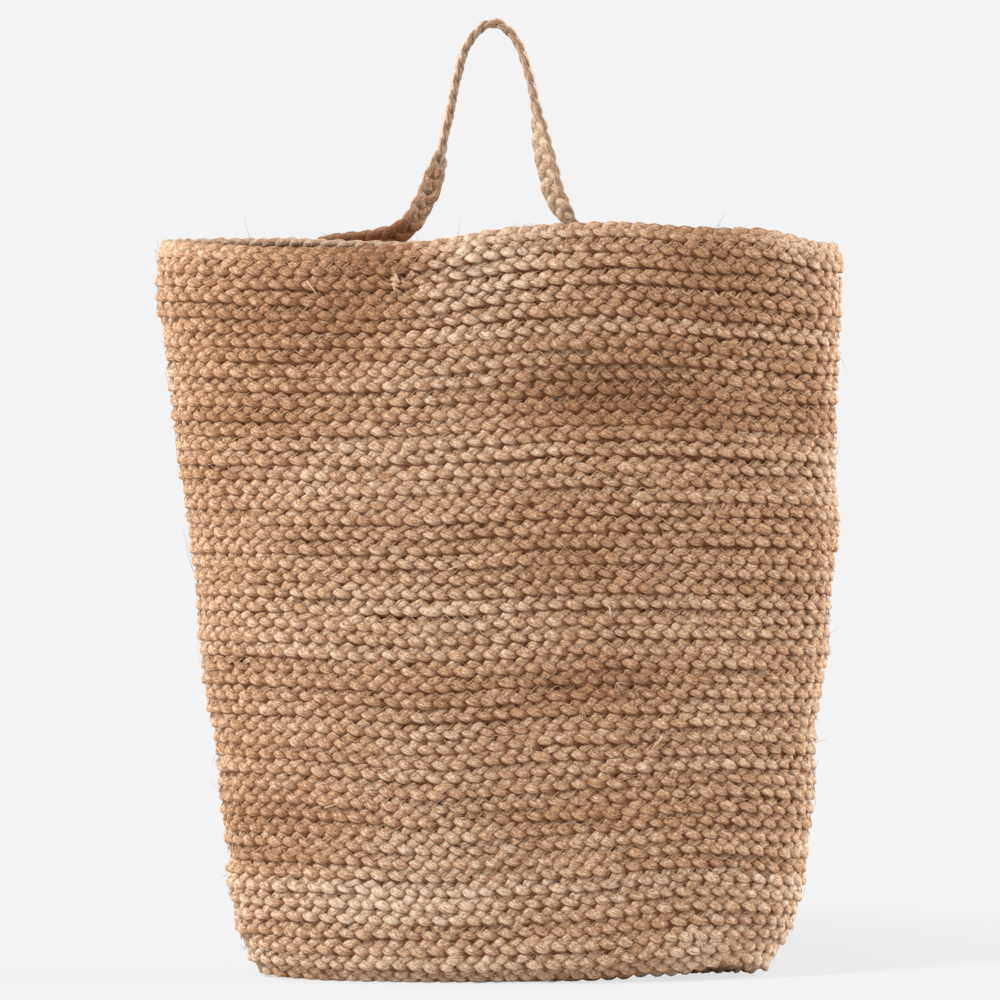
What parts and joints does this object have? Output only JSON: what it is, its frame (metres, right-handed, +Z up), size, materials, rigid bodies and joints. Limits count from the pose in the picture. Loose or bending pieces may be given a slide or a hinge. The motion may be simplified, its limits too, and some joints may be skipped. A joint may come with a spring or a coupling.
{
  "type": "hanging basket",
  "caption": "Tall soft storage basket coiled from flat plaited jute cord, oval in plan, with one plaited hanging loop at the back rim that swings.",
  "frame": {"origin": "middle of the flat base on the surface that the basket stands on", "axes": "+Z up, -Y out of the broad front, handle at the back rim at +Y, +X to the right seen from the front"},
  "size_m": [0.43, 0.158, 0.6056],
  "materials": {
    "jute_plait": "matte natural jute fibre, three-strand plait",
    "jute_plait_dark": "matte natural jute fibre, a slightly darker lot",
    "sewing_thread": "matte waxed sewing thread"
  },
  "bodies": {
    "basket": {"base_core": "jute_plait", "base_coil": "jute_plait", "base_edge_coil": "jute_plait", "wall_coil_1": "jute_plait", "wall_coil_2": "jute_plait_dark", "wall_coil_3": "jute_plait", "wall_coil_4": "jute_plait_dark", "wall_coil_5": "jute_plait", "wall_coil_6": "jute_plait_dark", "rim_coil": "jute_plait", "join_knot": "jute_plait", "handle_left_end": "jute_plait", "handle_right_end": "jute_plait", "handle_left_stitches": "sewing_thread", "handle_right_stitches": "sewing_thread"},
    "handle": {"handle_loop": "jute_plait"}
  },
  "joints": [
    {"name": "handle_swing", "type": "hinge", "parent": "basket", "child": "handle", "pos_m": [-0.00675, 0.07581, 0.4723], "axis": [1, 0, 0], "range_deg": [-170, 90]}
  ]
}
